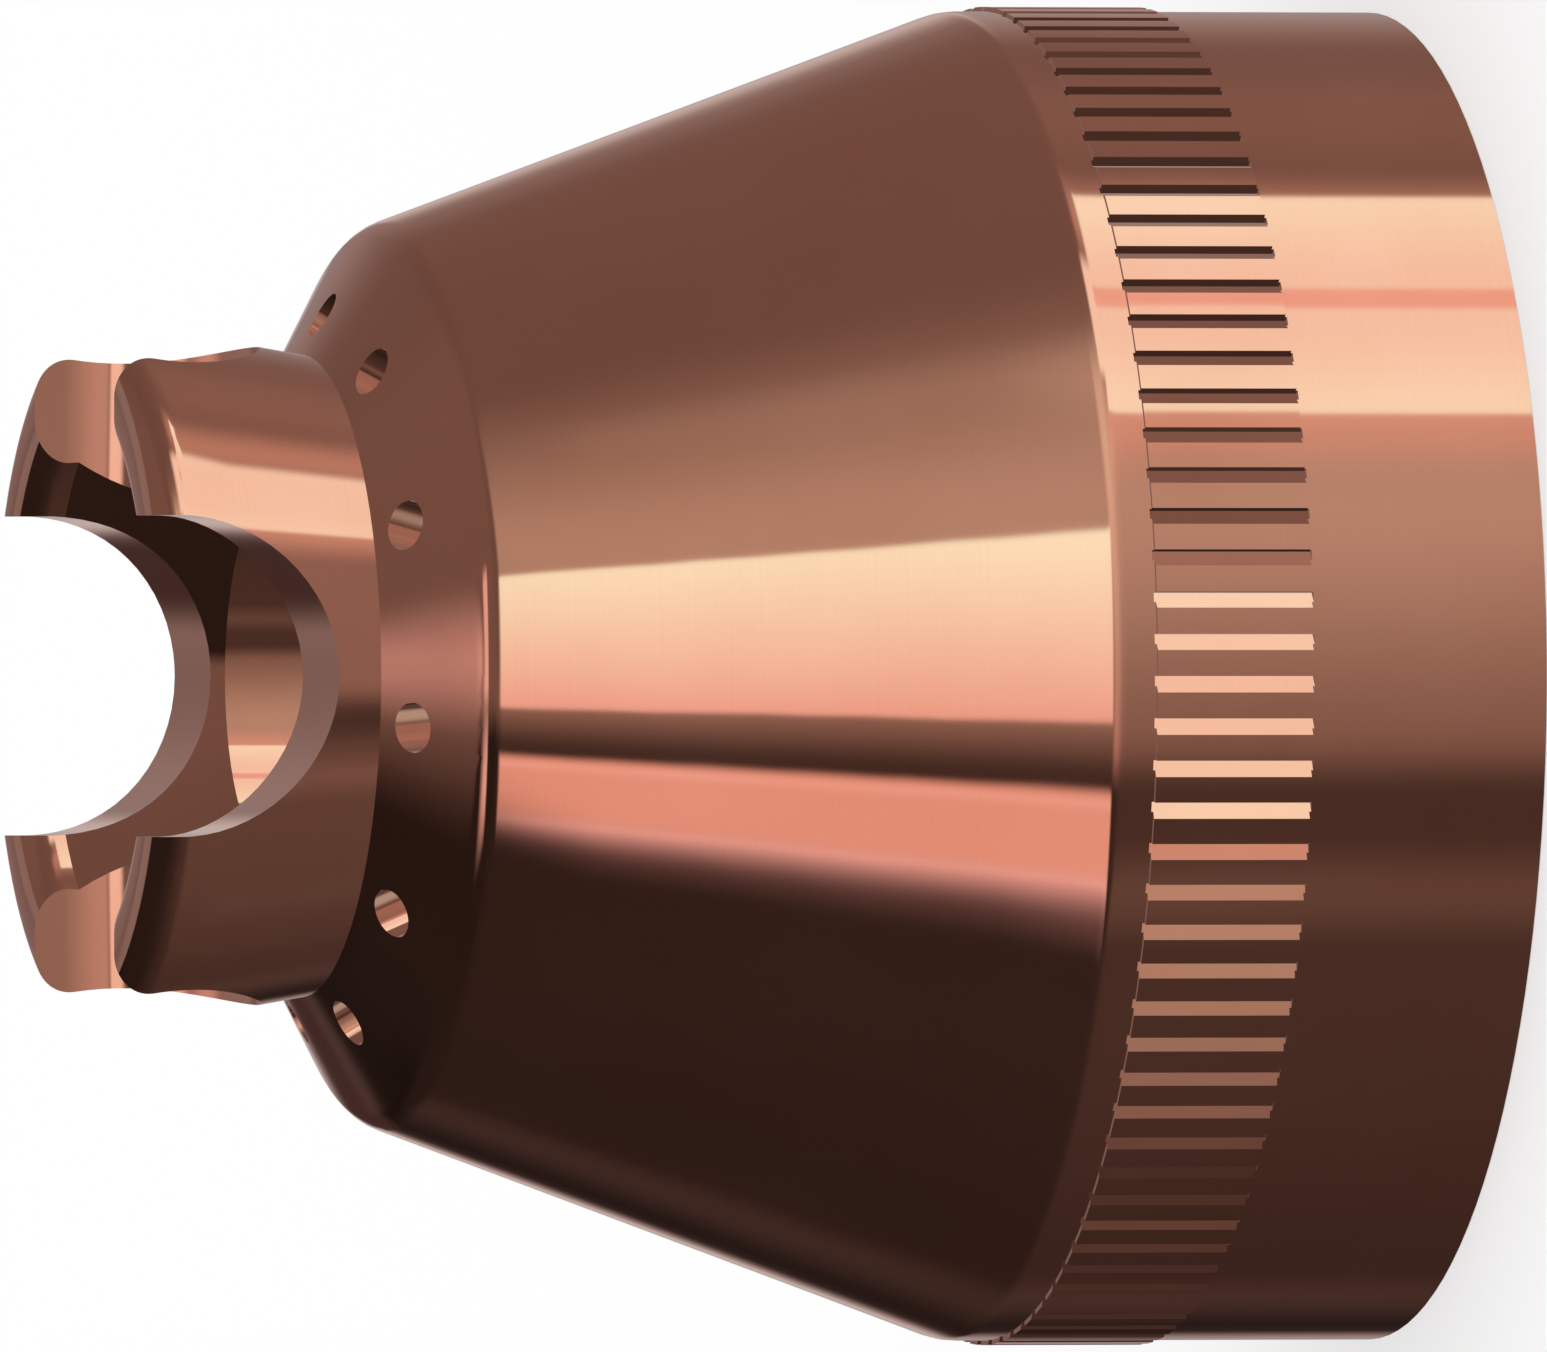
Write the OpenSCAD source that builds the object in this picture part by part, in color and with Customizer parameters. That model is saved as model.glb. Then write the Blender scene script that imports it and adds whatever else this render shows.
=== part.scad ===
// Plasma torch shield, turned from one bar of copper.
// It stands on its open base, and the notched nose points up along Z.

/* [Overall] */
// Height from the base rim to the tip of the nose
height = 31.92; // [30:0.02:40]
// Outside diameter of the skirt
skirt_d = 31.75; // [31:0.05:36]
// Length of the straight skirt, from the base rim to where the long cone begins
skirt_len = 10.48; // [10.2:0.02:13]

/* [Outside cones] */
// Diameter at the edge between the long cone and the shoulder
shoulder_d = 21.48; // [20.5:0.02:23]
// Angle of the short, steep shoulder to the axis
shoulder_angle = 60; // [54:1:66]
// Rounding where the skirt turns into the long cone
collar_round = 1.4; // [0.4:0.1:2.4]
// Rounding of the edge between the long cone and the shoulder
shoulder_round = 1.1; // [0.4:0.1:1.6]

/* [Nose] */
// Length of the nose, from its root on the shoulder to its tip
nose_len = 5.55; // [5:0.05:6.5]
// Diameter of the nose at its root
nose_root_d = 15.3; // [14.6:0.05:15.8]
// Angle to the axis by which the nose widens towards its tip
nose_flare = 9.8; // [6:0.1:12]
// Rounding of the outer and the inner edge of the lip
lip_round = 0.83; // [0.3:0.01:0.95]

/* [Bore of the nose] */
// Diameter of the bore at the tip
tip_bore_d = 12.7; // [12.2:0.05:13.2]
// Depth of the bore at the tip
tip_bore_depth = 1.08; // [1:0.02:1.6]
// Angle to the axis of the funnel under the tip bore
funnel_angle = 30; // [26:1:34]
// Diameter of the throat, which the arc comes through
throat_d = 8.42; // [8:0.02:9]
// Length of the straight throat
throat_len = 2.02; // [1.4:0.02:2.6]

/* [Notches] */
// Number of notches round the nose
notch_count = 4; // [2:1:5]
// Width of a notch
notch_w = 7.62; // [5:0.02:7.8]
// Depth of a notch at its round bottom, from the tip
notch_depth = 4.48; // [4:0.02:4.9]

/* [Vent holes] */
// Number of vent holes round the shoulder
vent_count = 11; // [3:1:16]
// Diameter of a vent hole
vent_d = 1.19; // [0.6:0.01:1.6]
// Diameter of the circle on which the holes break the shoulder
vent_ring_d = 17.2; // [17.1:0.05:18.4]

/* [Grip band] */
// Height of the lower edge of the band above the base rim
band_z = 5.75; // [0.5:0.05:6.2]
// Width of the band
band_w = 3.82; // [2:0.02:4.2]
// How far the band stands out from the skirt
band_proud = 0.11; // [0.05:0.01:0.6]
// Number of grooves round the band
groove_count = 100; // [40:1:110]
// Depth of a groove at its upright side
groove_depth = 0.285; // [0.1:0.005:0.6]
// Width of a groove at the surface of the band
groove_w = 0.395; // [0.2:0.005:0.6]
// Length by which a groove runs past each edge of the band, into the skirt
groove_run = 0.05; // [0.02:0.01:0.3]

/* [Screw socket] */
// Nominal diameter of the thread, which the socket is bored to
thread_d = 27; // [26:0.1:28]
// Depth at which the thread ends
thread_depth = 7.2; // [4:0.1:8]
// Chamfer that leads into the thread
lead_in = 0.5; // [0.2:0.1:0.9]
// Depth of the run-out groove behind the thread, below the thread's nominal diameter
run_out_deep = 0.3; // [0.1:0.05:0.6]
// Length of the run-out groove, up to the seat
run_out_len = 1.4; // [0.8:0.1:2]

/* [Gas chamber] */
// Diameter of the chamber above the seat
chamber_d = 23.6; // [22.4:0.1:25]
// Thickness of the wall of the long cone
cone_wall = 2.2; // [1.6:0.05:2.8]
// Rounding of the inner corners of the chamber
chamber_round = 0.8; // [0.2:0.1:1.2]

/* [Hidden] */
$fn = 144;
copper = [0.80, 0.52, 0.38];
// Length by which a cut runs past the face it opens
overshoot = 0.5;
// Trace by which a rounding's arc is drawn too large, so that it crosses both sides at one clean point
arc_bite = 0.0003;
// Direction in which no notch, vent hole or groove lies, where the turned faces have their seam
seam_angle = 45;

skirt_r = skirt_d / 2;
band_r = skirt_r + band_proud;
shoulder_r = shoulder_d / 2;
nose_root_r = nose_root_d / 2;
tip_bore_r = tip_bore_d / 2;
throat_r = throat_d / 2;
chamber_r = chamber_d / 2;
thread_r = thread_d / 2;
run_out_r = thread_r + run_out_deep;

// Heights of the outside corners, from the nose down
nose_z = height - nose_len;
shoulder_z = nose_z - (shoulder_r - nose_root_r) / tan(shoulder_angle);
tip_r = nose_root_r + nose_len * tan(nose_flare);
// Angle of the long cone to the axis, which runs from the end of the skirt to the shoulder
cone_angle = atan((skirt_r - shoulder_r) / (shoulder_z - skirt_len));

// Heights of the inside corners, from the tip down
funnel_z = height - tip_bore_depth;
throat_top = funnel_z - (tip_bore_r - throat_r) / tan(funnel_angle);
throat_end = throat_top - throat_len;
seat_z = thread_depth + run_out_len;

// The wall of the long cone, measured square to the axis
cone_wall_r = cone_wall / cos(cone_angle);
// Radius of the chamber's cone at height z, and the height where it has radius r
function chamber_cone_r(z) = skirt_r - cone_wall_r - (z - skirt_len) * tan(cone_angle);
function chamber_cone_z(r) = skirt_len + (skirt_r - cone_wall_r - r) / tan(cone_angle);
// The chamber's roof runs down from the throat, parallel to the shoulder, to meet that cone
roof_r = (chamber_cone_r(throat_end) - throat_r * tan(cone_angle) / tan(shoulder_angle))
    / (1 - tan(cone_angle) / tan(shoulder_angle));
roof_z = throat_end - (roof_r - throat_r) / tan(shoulder_angle);

// Thickness of the shoulder, square to its face
shoulder_wall = (nose_root_r - throat_r) * cos(shoulder_angle)
    + (nose_z - throat_end) * sin(shoulder_angle);
vent_r = vent_ring_d / 2;
vent_z = nose_z - (vent_r - nose_root_r) / tan(shoulder_angle);
notch_z = height - notch_depth + notch_w / 2;

// Half of the section: each corner is [radius, height, rounding], from the base up the outside
SECTION = [
    [skirt_r, 0, 0],
    [skirt_r, band_z, 0],
    [band_r, band_z, 0],
    [band_r, band_z + band_w, 0],
    [skirt_r, band_z + band_w, 0],
    [skirt_r, skirt_len, collar_round],
    [shoulder_r, shoulder_z, shoulder_round],
    [nose_root_r, nose_z, 0],
    [tip_r, height, lip_round],
    [tip_bore_r, height, lip_round],
    [tip_bore_r, funnel_z, 0],
    [throat_r, throat_top, 0],
    [throat_r, throat_end, 0],
    [roof_r, roof_z, chamber_round],
    [chamber_r, chamber_cone_z(chamber_r), chamber_round],
    [chamber_r, seat_z, 0],
    [run_out_r, seat_z, 0],
    [run_out_r, thread_depth, 0],
    [thread_r, thread_depth, 0],
    [thread_r, lead_in, 0],
    [thread_r + lead_in, 0, 0],
];

function flat(corner) = [corner[0], corner[1]];
function unit(v) = v / norm(v);
// Corner i of an outline with the corners before and after it
function trio(outline, i) = [
    flat(outline[(i + len(outline) - 1) % len(outline)]),
    flat(outline[i]),
    flat(outline[(i + 1) % len(outline)])
];
// Angle through which the outline turns at the middle corner
function turn(t) = acos(unit(t[1] - t[0]) * unit(t[2] - t[1]));
function turns_left(t) = cross(t[1] - t[0], t[2] - t[1]) > 0;
// The two points where a rounding of radius r begins and ends
function ends(t, r) = [
    t[1] + unit(t[0] - t[1]) * r * tan(turn(t) / 2),
    t[1] + unit(t[2] - t[1]) * r * tan(turn(t) / 2)
];

// The room between a corner and the arc that rounds it: a box over the line from one end of the
// arc to the other, a little longer than that line and as high as the radius, less the circle
module corner_room(t, r) {
    span = ends(t, r);
    along = unit(span[1] - span[0]) * r / 10;
    out = unit(2 * t[1] - span[0] - span[1]) * r;
    difference() {
        polygon([span[0] - along, span[1] + along, span[1] + along + out, span[0] - along + out]);
        translate(t[1] - out / cos(turn(t) / 2))
            circle(r + arc_bite);
    }
}

// The rooms of an outline: those at its outer corners, or those at its inner ones
module corner_rooms(outline, outer) {
    for (i = [0:len(outline) - 1])
        if (outline[i][2] > 0 && turns_left(trio(outline, i)) == outer)
            corner_room(trio(outline, i), outline[i][2]);
}

// An outline with a true arc at each corner that has a rounding
module rounded(outline) {
    difference() {
        polygon([for (corner = outline) flat(corner)]);
        corner_rooms(outline, outer = true);
    }
    corner_rooms(outline, outer = false);
}

// The shield as it comes off the lathe, before it is milled and drilled
module turned_body() {
    rotate([0, 0, seam_angle])
        rotate_extrude()
            rounded(SECTION);
}

// One notch with a round bottom, cut from the axis outwards along X
module notch() {
    reach = tip_r + overshoot;
    translate([0, 0, notch_z])
        rotate([0, 90, 0])
            cylinder(d = notch_w, h = reach);
    translate([0, -notch_w / 2, notch_z])
        cube([reach, notch_w, height - notch_z + overshoot]);
}

// One vent hole, drilled square to the shoulder into the chamber
module vent() {
    translate([vent_r, 0, vent_z])
        rotate([0, 90 - shoulder_angle, 0])
            translate([0, 0, -shoulder_wall - overshoot])
                cylinder(d = vent_d, h = shoulder_wall + 2 * overshoot);
}

// One groove of the grip band: upright on one side and sloping on the other, so that it bites
// when the shield is screwed on
module groove() {
    cut = groove_depth + overshoot;
    floor_r = band_r - groove_depth;
    translate([0, 0, band_z - groove_run])
        linear_extrude(height = band_w + 2 * groove_run)
            polygon([
                [floor_r, 0],
                [floor_r + cut, 0],
                [floor_r + cut, -groove_w * cut / groove_depth]
            ]);
}

// Copies of a cut, evenly spaced round the axis from X on
module around(count) {
    for (i = [0:count - 1])
        rotate([0, 0, i * 360 / count])
            children();
}

module shield() {
    color(copper)
        difference() {
            turned_body();
            around(notch_count) notch();
            around(vent_count) vent();
            around(groove_count) groove();
        }
}

shield();
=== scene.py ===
# %% [markdown]
# # A plasma torch shield, from turned solid to product picture
#
# The object is one piece of copper. It was turned on a lathe, milled with four notches in its
# nose, drilled with a ring of vent holes and grooved round its skirt, so that a gloved hand can
# unscrew it. Its exact solid was made in CAD. This lesson gives that solid clean reflections and
# a copper finish, cuts the screw thread in its base, and builds the small photo studio that
# polished metal needs, because polished metal shows little but what stands round it.
#
# The first cell loads the solid. It stands on its open base at the origin with its nose up along
# Z, in metres.

# %% Load the turned solid
from math import cos, pi, radians, sin, tan

import bpy
from mathutils import Matrix, Vector


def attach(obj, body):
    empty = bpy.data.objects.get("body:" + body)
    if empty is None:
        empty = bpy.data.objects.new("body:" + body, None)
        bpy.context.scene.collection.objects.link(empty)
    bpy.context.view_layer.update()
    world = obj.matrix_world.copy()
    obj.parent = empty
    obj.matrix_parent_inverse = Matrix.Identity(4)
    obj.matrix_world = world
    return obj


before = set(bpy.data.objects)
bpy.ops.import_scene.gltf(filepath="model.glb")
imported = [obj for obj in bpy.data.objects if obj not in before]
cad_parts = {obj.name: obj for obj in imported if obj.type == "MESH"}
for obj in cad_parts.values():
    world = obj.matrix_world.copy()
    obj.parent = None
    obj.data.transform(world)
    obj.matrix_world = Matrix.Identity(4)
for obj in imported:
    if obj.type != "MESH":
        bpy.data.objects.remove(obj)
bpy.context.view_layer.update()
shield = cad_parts["shield"]
MM = 0.001

# %% [markdown]
# ## The camera
#
# The picture was taken from so far away that nothing looks smaller at the back. The shield's
# axis lies across it, with the nose to the left and turned 15 degrees towards the viewer. An
# orthographic camera could do this, but the framing of other views works from the angle of a
# lens, so a very long one is used from 1.4 m away. The near side of the shield then looks about
# 1 percent larger than its outline. The picture's width is set between the two, so that neither
# is off by more than a few pixels. The shield stands upright here, so the camera lies on its
# side: its "right" points down along the shield's axis.
#
# Blender's usual view transform dims bright colours as film does. A product picture shows them
# as they are, so the view is set to Standard, in which a white of 1 comes out as white.

# %% Camera
TILT = radians(15)
LENS = 1400
SENSOR = 36
PICTURE_WIDTH = 36.92 * MM

picture_right = Vector((0, -sin(TILT), -cos(TILT)))
picture_up = Vector((1, 0, 0))
to_camera = Vector((0, -cos(TILT), sin(TILT)))
middle_of_picture = Vector((0, 0, 14.70)) * MM
distance = PICTURE_WIDTH * LENS / SENSOR

bpy.ops.object.select_all(action="DESELECT")
bpy.ops.object.camera_add()
camera = bpy.context.object
camera.name = "picture_camera"
camera.data.sensor_width = SENSOR
camera.data.lens = LENS
camera.data.clip_start, camera.data.clip_end = 0.1, 10
turn = Matrix((picture_right, picture_up, to_camera)).transposed().to_4x4()
camera.matrix_world = Matrix.Translation(middle_of_picture + to_camera * distance) @ turn
bpy.context.scene.camera = camera
bpy.context.scene.view_settings.view_transform = "Standard"
print(f"camera: {LENS} mm lens, {distance:.2f} m away")

# %% [markdown]
# ## Formulas made of nodes
#
# Patterns, reflections and corrected normals are all formulas. Wired by hand they turn into a
# tangle, so one small class stands for the output of a node, and Python's own operators on it
# add the Math nodes. `1 - mask` then works as it reads. Every other node comes from the method
# `node`, which takes the node's type, what goes into its sockets, and its settings.

# %% A class that writes nodes
class Wire:
    """One output of a node. Operators on it add Math nodes."""

    def __init__(self, tree, socket=None):
        self.tree = tree
        self.socket = socket

    def node(self, kind, inputs=None, settings=None, out=0):
        made = self.tree.nodes.new(kind)
        for name, value in (settings or {}).items():
            setattr(made, name, value)
        free = [socket for socket in made.inputs if not socket.is_unavailable]
        for key, value in (inputs or {}).items():
            socket = free[key] if isinstance(key, int) else made.inputs[key]
            if isinstance(value, Wire):
                self.tree.links.new(value.socket, socket)
            else:
                socket.default_value = value
        results = [socket for socket in made.outputs if not socket.is_unavailable]
        if not results:
            return None
        if isinstance(out, tuple):
            return [Wire(self.tree, results[i]) for i in out]
        return Wire(self.tree, results[out] if isinstance(out, int) else made.outputs[out])

    def math(self, operation, *values):
        return self.node("ShaderNodeMath", dict(enumerate(values)), {"operation": operation})

    def vector(self, operation, *others, out=0):
        return self.node("ShaderNodeVectorMath", dict(enumerate((self, *others))),
                         {"operation": operation}, out)

    def __add__(self, other):
        return self.math("ADD", self, other)

    def __sub__(self, other):
        return self.math("SUBTRACT", self, other)

    def __rsub__(self, other):
        return self.math("SUBTRACT", other, self)

    def __mul__(self, other):
        return self.math("MULTIPLY", self, other)

    def __truediv__(self, other):
        return self.math("DIVIDE", self, other)

    def __pow__(self, other):
        return self.math("POWER", self, other)

    def __lt__(self, other):
        return self.math("LESS_THAN", self, other)

    def __gt__(self, other):
        return self.math("GREATER_THAN", self, other)

    def __abs__(self):
        return self.math("ABSOLUTE", self)

    __radd__ = __add__
    __rmul__ = __mul__

    def dot(self, other):
        return self.vector("DOT_PRODUCT", other, out="Value")

    def smooth(self, low, high):
        """0 up to low and 1 from high on, with a soft rise between them."""
        return self.node("ShaderNodeMapRange", {"Value": self, "From Min": low, "From Max": high},
                         {"interpolation_type": "SMOOTHSTEP"})

    def mix(self, first, second):
        """A colour: first where this is 0, second where it is 1."""
        return self.node("ShaderNodeMix", {0: self, 1: first, 2: second}, {"data_type": "RGBA"})


print("formulas can be written")

# %% [markdown]
# ## True normals for mirror-like metal
#
# The solid reaches Blender as some 20,000 flat triangles with a stored normal at each corner.
# On matt plastic that would do. Polished copper doubles every error of a normal in what it
# mirrors, and at a few corners the stored ones lean by ten degrees, which shows as kinks in
# each highlight. More triangles wouldn't cure it, and the CAD mesh is to stay as it is.
#
# A lathe makes only two kinds of face: straight ones (cylinders and cones) and round ones
# (arcs). For both, the true normal follows from where a point is, so a Geometry Nodes modifier
# works it out at each corner. `STRAIGHT` has one point of each straight face and the angle by
# which its normal rises above the horizontal. `ROUND` has the centre and the radius of each
# arc. Both are read off the part's drawing, in millimetres.

# %% The turned faces of the shield
OUTWARDS, INWARDS = 1, -1
CONE = 20
STRAIGHT = [                             # radius, height, rise, side
    (15.875, 3, 0, OUTWARDS),            # skirt
    (15.985, 8, 0, OUTWARDS),            # grip band
    (15.875, 10.48, CONE, OUTWARDS),     # long cone
    (7.65, 26.37, 60, OUTWARDS),         # shoulder
    (7.65, 26.37, -9.8, OUTWARDS),       # nose
    (6.35, 31, 0, INWARDS),              # bore at the tip
    (6.35, 30.84, 30, INWARDS),          # funnel
    (4.21, 26, 0, INWARDS),              # throat
    (4.21, 25.11, -60, INWARDS),         # roof of the gas chamber
    (13.53, 10.48, -CONE, INWARDS),      # cone of the gas chamber
    (11.8, 12, 0, INWARDS),              # gas chamber above the seat
    (13.8, 8, 0, INWARDS),               # run-out groove
    (13.5, 3, 0, INWARDS),               # wall of the thread
    (13.5, 0.5, -45, INWARDS),           # chamfer of the base
]
ROUND = [                                # radius and height of the centre, radius of the arc
    (14.475, 10.23, 1.4),                # collar, between skirt and cone
    (9.843, 23.83, 1.1),                 # between cone and shoulder
    (7.623, 31.09, 0.83),                # outer edge of the lip
    (7.18, 31.09, 0.83),                 # inner edge of the lip
]
print(f"{len(STRAIGHT)} straight faces and {len(ROUND)} round ones")

# %% [markdown]
# A corner at radius r and height z lies on a straight face if it is on that face's line, and
# on a round one if it is on its arc, within `ON_FACE` millimetres. Its triangle must also face
# that way within some degrees, or the wall of a vent hole would pass for shoulder where the two
# meet. An arc's triangles lean more, so it has the larger tolerance. What matches no turned
# face, such as flats, holes and grooves, keeps its stored normal.

# %% Match each corner with a turned face
tree = bpy.data.node_groups.new("true normals", "GeometryNodeTree")
for way in ("INPUT", "OUTPUT"):
    tree.interface.new_socket("Geometry", in_out=way, socket_type="NodeSocketGeometry")
start = Wire(tree)
stored, facing = start.node("GeometryNodeInputNormal", out=(0, 1))
position = start.node("GeometryNodeInputPosition")
x, y, z = (part / MM for part in start.node("ShaderNodeSeparateXYZ", {0: position}, out=(0, 1, 2)))
r = (x * x + y * y) ** 0.5
outwards = start.node("ShaderNodeCombineXYZ", {0: x / r, 1: y / r})
facing_out, facing_up = facing.dot(outwards), facing.dot((0, 0, 1))
ON_FACE = 0.03
STRAIGHT_TOLERANCE, ARC_TOLERANCE = 13, 25


def matches(off_face, lean_out, lean_up, tolerance):
    """1 at a corner on the face, if its triangle leans the same way within the tolerance."""
    leans_so = facing_out * lean_out + facing_up * lean_up > cos(radians(tolerance))
    return (abs(off_face) < ON_FACE) * leans_so


candidates = []
for face_r, face_z, rise, side in STRAIGHT:
    lean_out, lean_up = side * cos(radians(rise)), sin(radians(rise))
    off_line = r * lean_out + z * lean_up - (face_r * lean_out + face_z * lean_up)
    candidates.append((matches(off_line, lean_out, lean_up, STRAIGHT_TOLERANCE), lean_out, lean_up))
for centre_r, centre_z, arc in ROUND:
    from_r, from_z = r - centre_r, z - centre_z
    reach = (from_r * from_r + from_z * from_z) ** 0.5
    lean_out, lean_up = from_r / reach, from_z / reach
    candidates.append((matches(reach - arc, lean_out, lean_up, ARC_TOLERANCE), lean_out, lean_up))
print(f"{len(candidates)} faces to match, {len(tree.nodes)} nodes")

# %% [markdown]
# Where a straight face runs into an arc, a corner matches both, and both give the same normal,
# so the matches can simply be added up and the sum set to length 1. Set Mesh Normal writes the
# result. The modifier stays live, because the CAD mesh itself isn't to change.

# %% Write the true normals
matched = sum(match for match, lean_out, lean_up in candidates)
sum_out = sum(match * lean_out for match, lean_out, lean_up in candidates)
sum_up = sum(match * lean_up for match, lean_out, lean_up in candidates)
upwards = start.node("ShaderNodeCombineXYZ", {2: sum_up})
true_normal = outwards.vector("SCALE", sum_out).vector("ADD", upwards).vector("NORMALIZE")
normal = start.node("GeometryNodeSwitch", {0: matched > 0.5, 1: stored, 2: true_normal},
                    {"input_type": "VECTOR"})
mesh_out = start.node("GeometryNodeSetMeshNormal",
                      {"Mesh": start.node("NodeGroupInput"), "Custom Normal": normal},
                      {"mode": "FREE", "domain": "CORNER"})
tree.links.new(mesh_out.socket, tree.nodes.new("NodeGroupOutput").inputs[0])
shield.modifiers.new("true normals", "NODES").node_group = tree

evaluated = shield.evaluated_get(bpy.context.evaluated_depsgraph_get()).data
moved = sum((new.vector - old.vector).length > 0.001 for new, old in
            zip(evaluated.corner_normals, shield.data.corner_normals))
print(f"true normals: {len(tree.nodes)} nodes set {moved} of {len(shield.data.loops)} corners")

# %% [markdown]
# ## The screw thread
#
# The shield screws onto its torch with a right-hand M27 x 1.5 thread in the base. The solid has
# the bore, the chamfer that leads in and the groove behind the thread, but a true helix would
# make it heavy for no use in simulation. A bump map could fake the thread, yet the crests are
# seen edge-on from below, so they are modelled: the section of one crest is drawn at the
# bore's wall and swept up a helix with the Screw modifier. A 60 degree tool leaves crests that
# are 0.5413 of the pitch high, seven eighths of it wide at the root and a quarter at the top.
# The root sinks a little into the wall.

# %% Sweep one crest up the helix
PITCH = 1.5
BORE_R = 13.5
CREST_R = BORE_R - 0.5413 * PITCH
ROOT_HALF, CREST_HALF = PITCH * 7 / 16, PITCH / 8
FLANK = radians(30)
SINK = 0.05
TURNS = 7
STEPS_PER_TURN = 96

bpy.ops.object.select_all(action="DESELECT")
bpy.ops.mesh.primitive_plane_add(size=2, rotation=(pi / 2, 0, 0))
thread = bpy.context.object
thread.name = "thread"
bpy.ops.object.transform_apply(location=False, rotation=True, scale=False)
for corner in thread.data.vertices:
    at_root = corner.co.x > 0
    half = ROOT_HALF + SINK * tan(FLANK) if at_root else CREST_HALF
    corner.co = Vector((BORE_R + SINK if at_root else CREST_R, 0,
                        half if corner.co.z > 0 else -half)) * MM
    corner.co.z -= PITCH * MM
bpy.ops.object.mode_set(mode="EDIT")
bpy.ops.mesh.select_all(action="SELECT")
bpy.ops.mesh.delete(type="ONLY_FACE")
bpy.ops.object.mode_set(mode="OBJECT")
screw = thread.modifiers.new("helix", "SCREW")
screw.axis = "Z"
screw.angle = 2 * pi * TURNS
screw.screw_offset = PITCH * TURNS * MM
screw.steps = screw.render_steps = STEPS_PER_TURN * TURNS
screw.use_merge_vertices = False
bpy.ops.object.modifier_apply(modifier="helix")
bpy.ops.object.mode_set(mode="EDIT")
bpy.ops.mesh.select_all(action="SELECT")
bpy.ops.mesh.fill_holes(sides=4)
bpy.ops.mesh.select_all(action="SELECT")
bpy.ops.mesh.normals_make_consistent(inside=False)
bpy.ops.object.mode_set(mode="OBJECT")
print(f"thread: {len(thread.data.polygons)} faces on {TURNS} turns of the helix")

# %% [markdown]
# The helix starts below the base and ends above the groove. A cylinder cuts it off where the
# run-out groove begins. A cone takes what lies below the base, and slants the start of the
# first crest as the base's chamfer does. Both are subtracted with the Boolean modifier, which
# closes each cut. A plane cut that fills itself would close the whole bore instead.
#
# The last lines weld what the cuts left double, turn all faces outwards, and count the edges
# that are still open, of which a closed thread has none.

# %% Trim the thread
THREAD_TOP = 7.2
CHAMFER = 0.5
CUTTER_HEIGHT = 6
CUTTER_SIDES = 192
WELD = 0.001
SHARPEST_SMOOTH = radians(25)


def cut_away(low, low_radius, high_radius):
    """Subtracts a cone or cylinder round the axis, which starts at the height low."""
    bpy.ops.object.select_all(action="DESELECT")
    bpy.ops.mesh.primitive_cone_add(
        vertices=CUTTER_SIDES, radius1=low_radius * MM, radius2=high_radius * MM,
        depth=CUTTER_HEIGHT * MM, location=(0, 0, (low + CUTTER_HEIGHT / 2) * MM))
    cutter = bpy.context.object
    trim = thread.modifiers.new("trim", "BOOLEAN")
    trim.operation, trim.object, trim.solver = "DIFFERENCE", cutter, "EXACT"
    bpy.context.view_layer.objects.active = thread
    bpy.ops.object.modifier_apply(modifier="trim")
    bpy.data.objects.remove(cutter)


cone_r = BORE_R + CHAMFER + CUTTER_HEIGHT / 2
cut_away(-CUTTER_HEIGHT / 2, cone_r, cone_r - CUTTER_HEIGHT)
inside_wall = BORE_R + 1
cut_away(THREAD_TOP, inside_wall, inside_wall)

bpy.ops.object.select_all(action="DESELECT")
thread.select_set(True)
bpy.ops.object.mode_set(mode="EDIT")
bpy.ops.mesh.select_all(action="SELECT")
bpy.ops.mesh.remove_doubles(threshold=WELD * MM)
bpy.ops.mesh.delete_loose()
bpy.ops.mesh.select_all(action="SELECT")
bpy.ops.mesh.normals_make_consistent(inside=False)
bpy.ops.mesh.select_all(action="DESELECT")
bpy.ops.mesh.select_non_manifold()
bpy.ops.object.mode_set(mode="OBJECT")
bpy.ops.object.shade_smooth_by_angle(angle=SHARPEST_SMOOTH)
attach(thread, "root")
box = [Vector(corner) / MM for corner in thread.bound_box]
open_edges = sum(edge.select for edge in thread.data.edges)
print(f"thread: {len(thread.data.polygons)} faces, {open_edges} open edges, from "
      f"{min(c.z for c in box):.2f} to {max(c.z for c in box):.2f} mm high")

# %% [markdown]
# ## Copper off the lathe
#
# The surface is bare copper with the finish of a sharp tool: fully metallic and almost a
# mirror. Its colour alone would look like plastic film, so the lathe's own traces are added. A
# tool leaves fine rings round the axis, and they follow the section wherever it goes. The
# pattern therefore runs along `height - 0.8 * radius`, which changes on every turned face of
# this part, in rings from a tenth to a fiftieth of a millimetre. They turn the normal by a
# fraction of a degree and vary the gloss a little. Bare copper also tarnishes unevenly, which a
# soft cloud adds to colour and gloss.
#
# The copper is hidden from rays that it mirrors itself. The holes and the inside of the nose
# show the studio in the picture, with only a few dim bands where copper mirrors copper. With
# `visible_glossy` on they would be nearly black, and those bands aren't worth that.

# %% Copper material
DEEP_COPPER, PALE_COPPER = (0.92, 0.54, 0.35, 1), (0.96, 0.58, 0.39, 1)
RING_SHADE = 0.98
RING_DEPTH = 0.00005
CLOUDS_PER_METRE = 160.0

copper = bpy.data.materials.new("turned copper")
copper.use_nodes = True
copper.node_tree.nodes.clear()
start = Wire(copper.node_tree)
place = start.node("ShaderNodeTexCoord", out="Object")
x, y, z = start.node("ShaderNodeSeparateXYZ", {0: place}, out=(0, 1, 2))
along = (z - (x * x + y * y) ** 0.5 * 0.8) / MM


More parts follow.
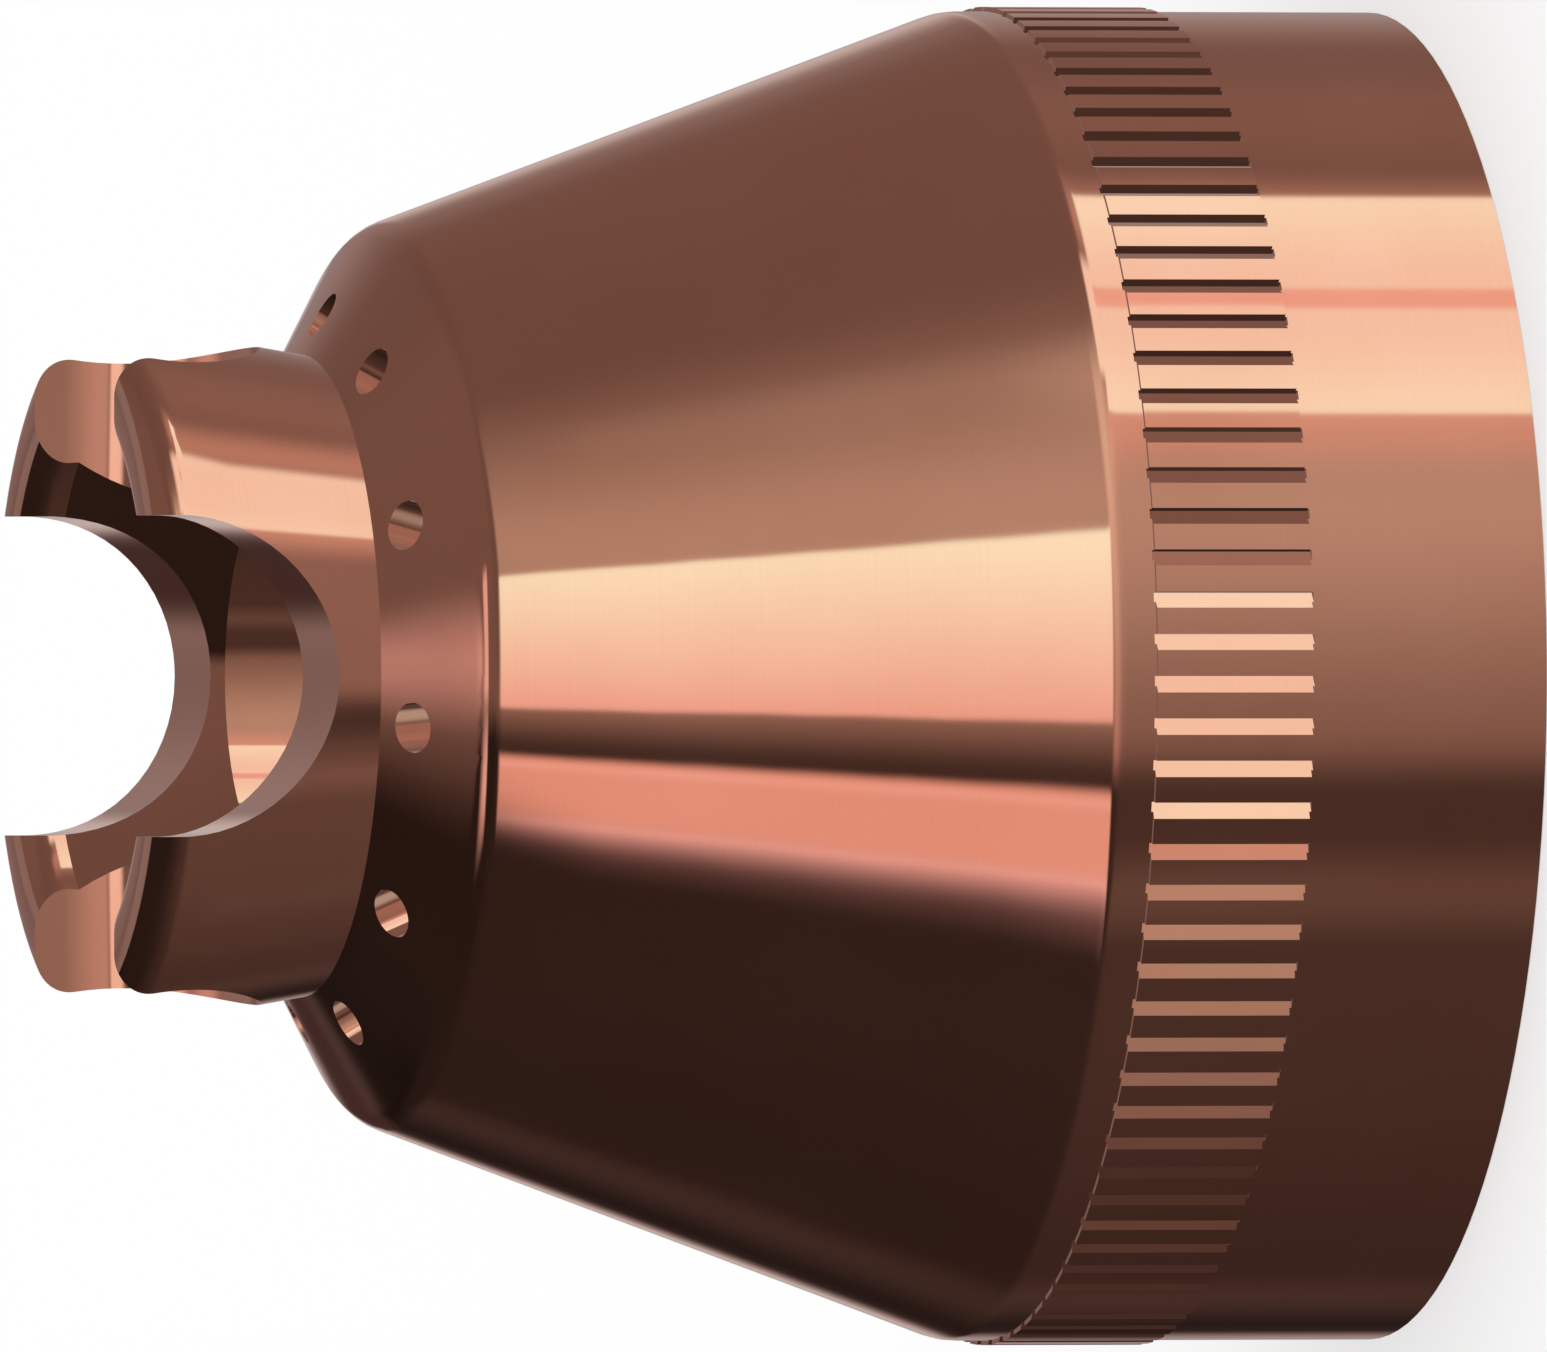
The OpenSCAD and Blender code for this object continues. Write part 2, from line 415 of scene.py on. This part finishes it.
def rings(per_mm):
    """Rings round the axis, from 0 to 1, of uneven depth and spacing."""
    return start.node("ShaderNodeTexNoise", {"W": along, "Scale": per_mm, "Detail": 2.0},
                      {"noise_dimensions": "1D"})


cloud = start.node("ShaderNodeTexNoise", {
    "Vector": place, "Scale": CLOUDS_PER_METRE, "Detail": 4.0})
coarse, fine = rings(9.0), rings(45.0)
colour = cloud.smooth(0.3, 0.7).mix(DEEP_COPPER, PALE_COPPER)
colour = (coarse * 0.5 + fine * 0.5).smooth(0.25, 0.75).mix(
    colour, colour.vector("SCALE", RING_SHADE))
gloss = 0.035 + cloud * 0.03 + fine * 0.02
relief = start.node("ShaderNodeBump", {"Strength": 1.0, "Distance": RING_DEPTH * MM,
                                       "Height": coarse * 0.6 + fine * 0.4})
surface = start.node("ShaderNodeBsdfPrincipled", {
    "Base Color": colour, "Metallic": 1.0, "Roughness": gloss, "Normal": relief})
start.node("ShaderNodeOutputMaterial", {"Surface": surface})
for piece in (shield, thread):
    piece.data.materials.clear()
    piece.data.materials.append(copper)
    piece.visible_glossy = False
print(f"copper: {len(copper.node_tree.nodes)} nodes")

# %% [markdown]
# ## The floor
#
# The shield stands on a plain white floor. Half of the floor's white is paint under the studio's
# light, which keeps the soft shadow round the base. The other half glows, only for what looks
# at it: the camera, and rays that come off metal or glass. Together they make a white of
# exactly 1, with no extra light on the object.
#
# One liberty is taken. A skirt that stands upright would mirror the floor over its whole
# height, and the picture shows the shield with the studio all round it instead. So the copper
# doesn't see the floor, and what lies below the horizon of the studio takes its place. The
# floor's glow for metal thus has no effect until its `visible_glossy` is switched on again.

# %% Floor
FLOOR_RADIUS = 1.5
FLOOR_DROP = 0.02
PAINT_SHARE = 0.5

bpy.ops.object.select_all(action="DESELECT")
bpy.ops.mesh.primitive_circle_add(vertices=96, radius=FLOOR_RADIUS, fill_type="NGON",
                                  location=(0, 0, -FLOOR_DROP * MM))
floor = bpy.context.object
floor.name = "floor"
bpy.ops.object.transform_apply()
paint = bpy.data.materials.new("white floor")
paint.use_nodes = True
paint.node_tree.nodes.clear()
start = Wire(paint.node_tree)
seen, by_metal, through_glass = (
    start.node("ShaderNodeLightPath", out=name)
    for name in ("Is Camera Ray", "Is Glossy Ray", "Is Transmission Ray"))
lit = start.node("ShaderNodeBsdfDiffuse", {"Color": (PAINT_SHARE, PAINT_SHARE, PAINT_SHARE, 1)})
glowing = start.node("ShaderNodeEmission", {
    "Color": (1, 1, 1, 1), "Strength": (seen + by_metal + through_glass) * (1 - PAINT_SHARE)})
both = start.node("ShaderNodeAddShader", {0: lit, 1: glowing})
start.node("ShaderNodeOutputMaterial", {"Surface": both})
floor.data.materials.append(paint)
floor.visible_glossy = False
print(f"floor: white, {2 * FLOOR_RADIUS:.0f} m across")

# %% [markdown]
# ## The studio
#
# A photographer puts polished metal in a white tent and then blocks most of it with dark
# cards, because metal that sees only white looks flat. The bands of light on the shield are the
# gaps between those cards. Real cards would stand in the way of other views, so they are made
# in the world's shader, from nothing but the direction of a ray. Only the rays that metal or
# glass sends on see them. The camera sees the white tent at a strength of 1, and the light on
# the floor comes from that plain white too.
#
# A place in the studio is given in one of two ways. Round the shield it is an azimuth, which is
# 0 on the camera's side and 90 at +X, and an elevation. A flat panel has straight edges on a
# wall or on the roof, so it is given in metres on a wall or roof one metre away. A ray that
# runs almost along one, below `GRAZING`, misses it.

# %% Directions in the studio
DEGREES = 180 / pi
GRAZING = 0.05

world = bpy.data.worlds.new("studio")
bpy.context.scene.world = world
world.use_nodes = True
world.node_tree.nodes.clear()
start = Wire(world.node_tree)
look = start.node("ShaderNodeTexCoord", out="Generated").vector("NORMALIZE")
x, y, z = start.node("ShaderNodeSeparateXYZ", {0: look}, out=(0, 1, 2))
forwards = 0 - y
azimuth = start.math("ARCTAN2", x, forwards) * DEGREES
elevation = start.math("ARCSINE", z) * DEGREES
front_up, on_front = z / forwards, forwards > GRAZING
side_across, side_up, on_side = y / x, z / x, x > GRAZING
roof_x, roof_y, on_roof = x / z, y / z, z > GRAZING
back_up = z / y
print("walls: front, side, roof and back")

# %% [markdown]
# Every panel is a product of soft steps. `between` is 1 from one edge to the other, `near` is a
# bump round one value, and `spot` is a round glow about a direction.

# %% Shapes of light
def between(place, low, high, edge, high_edge=None):
    high_edge = high_edge or edge
    return place.smooth(low - edge, low + edge) * (
        1 - place.smooth(high - high_edge, high + high_edge))


def near(place, centre, reach):
    return 1 - abs(place - centre).smooth(0, reach)


def spot(spot_azimuth, spot_elevation, reach, core):
    a, e = radians(spot_azimuth), radians(spot_elevation)
    centre = (sin(a) * cos(e), -cos(a) * cos(e), sin(e))
    return look.dot(centre).smooth(cos(radians(reach)), cos(radians(core)))


print("panels can be cut")

# %% [markdown]
# The cards aren't black. They are a warm brown, which is why copper's shadows look so rich.
# On the side of +X they catch some of the tent's light. On the other side they are almost dark,
# with a little more light on them low down, and some uneven patches as card has.

# %% Cards
BLACK, WHITE, BROWN = (0, 0, 0, 1), (1, 1, 1, 1), (1, 0.66, 0.66, 1)
sunny = (x - z * 0.1 - (0 - z).smooth(0.25, 0.6) * 0.18).smooth(-0.31, -0.13)
shady = 0.02 + (1 - elevation.smooth(-15, 15)) * 0.025
shady = shady + azimuth.smooth(-130, -50) * (1 - elevation.smooth(0, 40)) * 0.025
shady = shady + near(azimuth, -137, 11) * (1 - elevation.smooth(2, 12)) * 0.018
shady = shady * (1 - near(azimuth, -155, 12) * 0.5)
shady = shady + (1 - elevation.smooth(-34, -16)) * (1 - near(azimuth, -17, 13)) * 0.06
shady = shady + between(azimuth, 104, 126, 8) * (1 - elevation.smooth(-14, 2)) * 0.03
light = (shady + sunny * (0.13 + elevation.smooth(25, 45) * 0.03)).mix(BLACK, BROWN)
patch = near(azimuth, -38, 11) * (1 - elevation.smooth(-8, 8))
light = (patch * 0.065).mix(light, BROWN)
print("cards: warm brown, lighter towards +X")

# %% [markdown]
# A wash of light lies on the cards to the right of the camera. It gives the copper its long
# gradient from brown to pale, above the bright band of the cone and on the skirt. On each
# side of the key light the card glows a little, as card does next to a lamp.

# %% Wash
WASHED_CARD, WARM_CARD = (0.66, 0.52, 0.50, 1), (0.78, 0.48, 0.46, 1)
wash = azimuth.smooth(-22, 40) * (1 - azimuth.smooth(22, 80)) * (
    1 - elevation.smooth(25, 29)) * elevation.smooth(-36, -17)
light = (wash * 0.73).mix(light, WASHED_CARD)
leaning = azimuth + (elevation + 15) * 0.55
beside_key = (near(leaning, 46, 14) * 0.75 + near(azimuth, 86, 14) * 0.5) * (
    1 - elevation.smooth(-8, 6))
light = beside_key.mix(light, WARM_CARD)
print("wash: from -22 to 80 degrees")

# %% [markdown]
# Below the horizon lies what the vent holes mirror: a warm table top on the bright side, and a
# pale grey reflector low on the dark side. It draws a light bar across each hole.

# %% Below the horizon
TABLE_TOP, REFLECTOR = (0.37, 0.22, 0.215, 1), (0.46, 0.45, 0.47, 1)
table = (1 - elevation.smooth(-60, -25)) * sunny
light = (table * 0.9).mix(light, TABLE_TOP)
light = spot(-95, -57, 30, 5).mix(light, REFLECTOR)
print("below: table top and reflector")

# %% [markdown]
# Behind the shield hangs a cool grey cloth. The round bottoms of the notches mirror it. It is
# darker high up, and has a pale fold low down and a deep one in the middle. On the left it ends
# lower. The sides of the lips mirror its upper end, which comes forward under the roof.

# %% Cloth behind the shield
CLOTH_LOW, CLOTH = (0.27, 0.21, 0.21, 1), (0.29, 0.225, 0.23, 1)
CLOTH_HIGH, CLOTH_END = (0.17, 0.115, 0.12, 1), (0.27, 0.22, 0.25, 1)
PALE_FOLD, DEEP_FOLD = (0.62, 0.54, 0.53, 1), (0.055, 0.03, 0.03, 1)
cloth = elevation.smooth(-16, -2).mix(CLOTH_LOW, elevation.smooth(0, 25).mix(CLOTH, CLOTH_HIGH))
cloth = (near(elevation, -11.5, 6) * 0.8).mix(cloth, PALE_FOLD)
hung_right = azimuth.smooth(138, 168)
hung_left = (1 - azimuth.smooth(-172, -160)) * (1 - elevation.smooth(14, 24))
light = (hung_right + hung_left).mix(light, cloth)
light = spot(194, 2, 13, 4).mix(light, DEEP_FOLD)
square = roof_x * roof_x
under_roof = on_roof * (roof_y - square * (square * 1.2 + 1.3)).smooth(0.33, 0.5) * (
    back_up.smooth(0.25, 0.7))
light = (under_roof * 0.9).mix(light, CLOTH_END)
print("cloth: grey, behind the shield")

# %% [markdown]
# The key light stands at the side of +X and makes the broad band across the skirt and the
# nose. It is built of three panels, as a photographer would tape them: a wide one, a smaller
# one above and one below with a slanting end. It is brightest at its two ends. A salmon strip
# of tape crosses the wide panel.

# %% Key light
LAMP, LAMP_END, TAPE = (0.985, 0.91, 0.935, 1), (1.03, 1.13, 1.13, 1), (0.90, 0.53, 0.54, 1)
lamp = abs(azimuth - 68).smooth(4, 24).mix(LAMP, LAMP_END)
wide = between(side_across, -0.955, 0.035, 0.012) * between(side_up, -0.44, -0.22, 0.02)
above = between(side_across, -0.75, -0.25, 0.05) * between(side_up, -0.3, 0.09, 0.04, 0.1)
slant = side_across - (side_up + 0.36) * 0.95
below = side_across.smooth(-0.74, -0.70) * (1 - slant.smooth(0, 0.06)) * (
    between(side_up, -0.80, -0.40, 0.02))
for panel in (wide, above, below):
    light = (on_side * panel).mix(light, lamp)
tape = on_side * between(azimuth, 67, 71, 0.6) * between(elevation, -18, -11.5, 0.7)
light = (tape * 0.9).mix(light, TAPE)
print("key light: three panels and a strip of tape")

# %% [markdown]
# The front wall has a low, wide window in two panes. Its sill catches a glow, which the
# rounding between skirt and cone mirrors. The bar between the panes glows a little as well.

# %% Sill of the front window
SILL_LEFT, SILL_RIGHT = (0.72, 0.42, 0.44, 1), (1.00, 0.86, 0.82, 1)
BAR_GLOW = (0.90, 0.60, 0.60, 1)
sill = between(azimuth, -16, 58, 5, 8) * elevation.smooth(-18, 16) * (
    1 - elevation.smooth(17.5, 21.5))
light = (sill * 0.5).mix(light, ((azimuth + 15) / 55).mix(SILL_LEFT, SILL_RIGHT))
on_bar = near(azimuth, -8, 14) * near(elevation, 25, 14)
light = (on_bar * 0.12).mix(light, BAR_GLOW)
print("front: a glow on sill and bar")

# %% [markdown]
# The right pane is a lamp's own face, a little brighter than white paper, and goes from pink
# to cream. The left one is salmon, with a paler rim, and fades out to the left. The bar
# between them draws the dark line along the cone.

# %% Front window
LOW, HIGH = 0.385, 0.58
PINK, CREAM = (0.93, 0.61, 0.65, 1), (1.06, 1.29, 1.26, 1)
FADED_SALMON, SALMON, RIM = (0.82, 0.53, 0.65, 1), (0.84, 0.49, 0.49, 1), (0.94, 0.62, 0.69, 1)
front_right = on_front * between(azimuth, -8.3, 26.1, 0.7) * (
    between(front_up, LOW, HIGH, 0.02, 0.05))
light = front_right.mix(light, ((azimuth + 8) / 34).mix(PINK, CREAM))
fade = azimuth.smooth(-52, -36) ** 3 + near(azimuth, -46.5, 6) * 0.085
front_left = on_front * fade * (1 - azimuth.smooth(-21.9, -19.2)) * (
    between(front_up, LOW, HIGH, 0.018, 0.06))
rim = near(azimuth, -22.8, 1.8) + near(azimuth, -37.4, 2)
salmon = (rim * 0.7).mix(azimuth.smooth(-38, -34).mix(FADED_SALMON, SALMON), RIM)
light = front_left.mix(light, salmon)
print("front: two panes with a dark bar between them")

# %% [markdown]
# The roof has two panes as well, which draw the thin bright lines round the edge between cone
# and shoulder. A faint glow runs back from them, and lights the middle of the shoulder. It
# has a dim fringe on the left, so that the shoulder darkens slowly there.

# %% Roof windows
ROOF_RIGHT, ROOF_LEFT = (0.85, 0.57, 0.60, 1), (0.83, 0.56, 0.61, 1)
ROOF_GLOW = (0.70, 0.45, 0.50, 1)
pane_end = roof_x + roof_y * 0.45
roof_right = on_roof * between(roof_y, -0.455, -0.21, 0.05, 0.10) * (
    1 - pane_end.smooth(0.14, 0.22)) * roof_x.smooth(-0.12, -0.02)
light = roof_right.mix(light, ROOF_RIGHT)
roof_left = on_roof * near(roof_x, -0.34, 0.40) * between(roof_y, -0.45, -0.2, 0.05, 0.16)
light = roof_left.mix(light, ROOF_LEFT)
glow = on_roof * near(roof_x, 0.03, 0.15) * roof_y.smooth(-0.3, 0.1) * (
    1 - roof_y.smooth(0.15, 0.5))
light = (glow * 0.9).mix(light, ROOF_GLOW)
fringe = on_roof * near(roof_x, -0.17, 0.14) * between(roof_y, 0.1, 0.6, 0.1)
light = (fringe * 0.05).mix(light, BROWN)
print("roof: two panes and a glow")

# %% [markdown]
# Light Path now sorts the rays. The camera sees the white tent. Rays that metal or glass
# sends on see the tent behind its cards. All the rest, which light the floor, see the tent's
# plain white of 1, so that every colour renders as it is written. They are sorted by a Mix
# Shader and not by a Mix of colours, because Cycles works out the long studio branch only for
# the rays that need it, which shortens a render.

# %% World
mirrored, refracted = (start.node("ShaderNodeLightPath", out=name)
                       for name in ("Is Glossy Ray", "Is Transmission Ray"))
tent, studio = (start.node("ShaderNodeBackground", {"Color": shade, "Strength": 1.0})
                for shade in (WHITE, light))
sorted_rays = start.node("ShaderNodeMixShader", {0: mirrored + refracted, 1: tent, 2: studio})
start.node("ShaderNodeOutputWorld", {"Surface": sorted_rays})
print(f"studio: {len(world.node_tree.nodes)} nodes")
